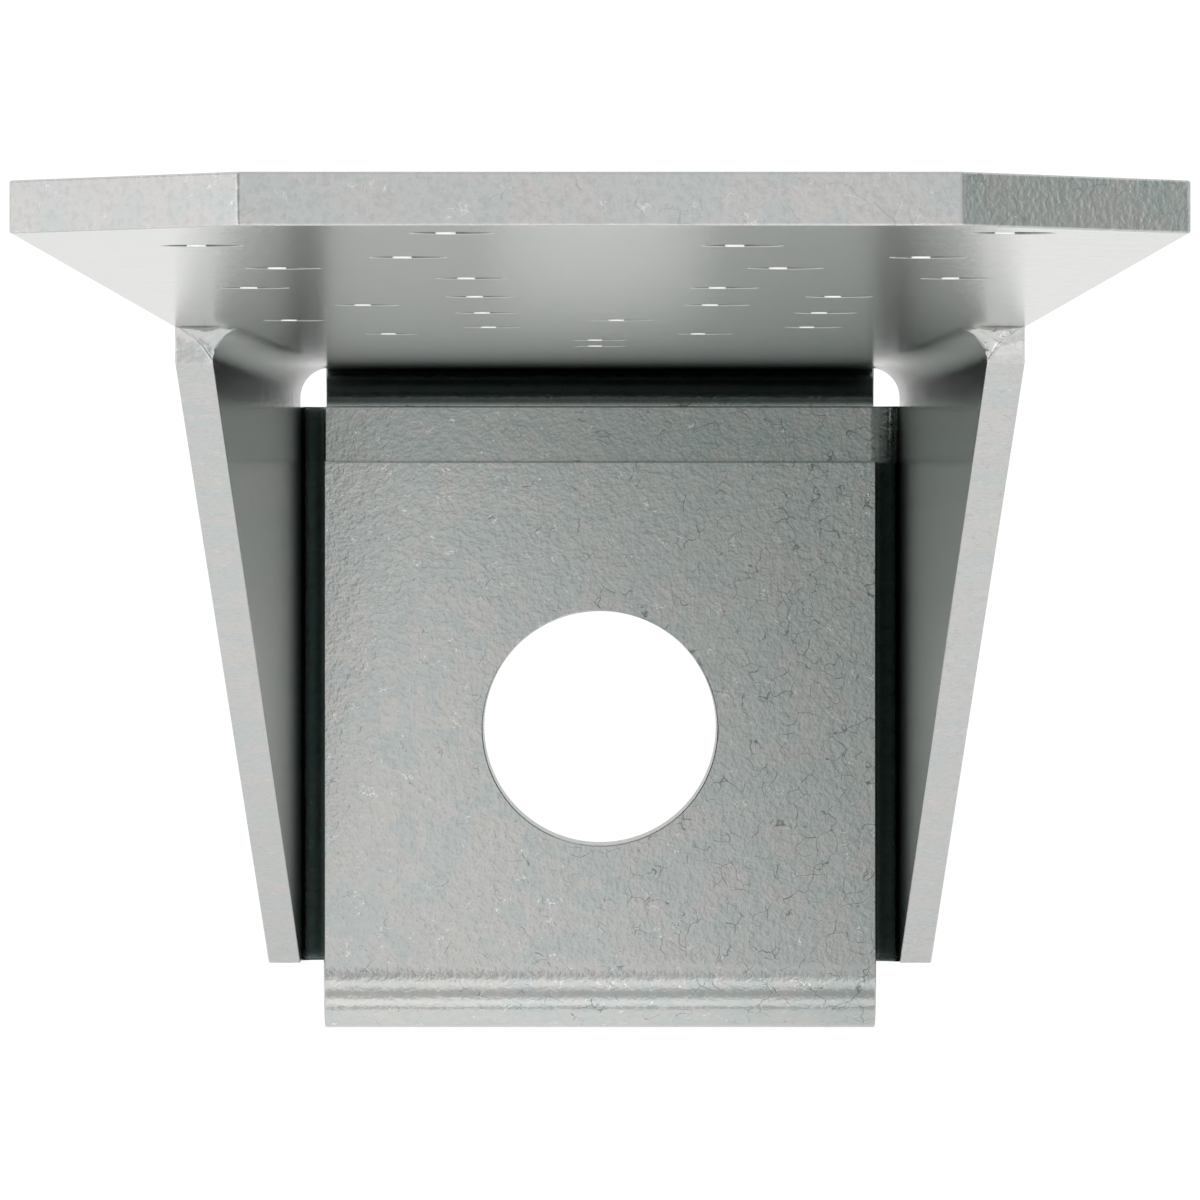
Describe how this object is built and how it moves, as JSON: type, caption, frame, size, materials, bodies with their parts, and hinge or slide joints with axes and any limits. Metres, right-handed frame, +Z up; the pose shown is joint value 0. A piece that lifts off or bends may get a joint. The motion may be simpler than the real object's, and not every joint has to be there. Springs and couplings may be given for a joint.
{
  "type": "tension tie",
  "caption": "Tension tie folded from one galvanised sheet: a nailed strap, two tapered side flanges and a layered seat that an anchor bolt passes through.",
  "frame": {"origin": "on the anchor bolt's axis, at the underside of the seat", "axes": "+Z up along the strap, +Y towards the post, X across the strap"},
  "size_m": [0.0636, 0.0622, 0.4064],
  "materials": {
    "galvanised_steel": "hot-dip galvanised, matt with a soft shine"
  },
  "bodies": {
    "root": {"tension_tie": "galvanised_steel"}
  },
  "joints": []
}
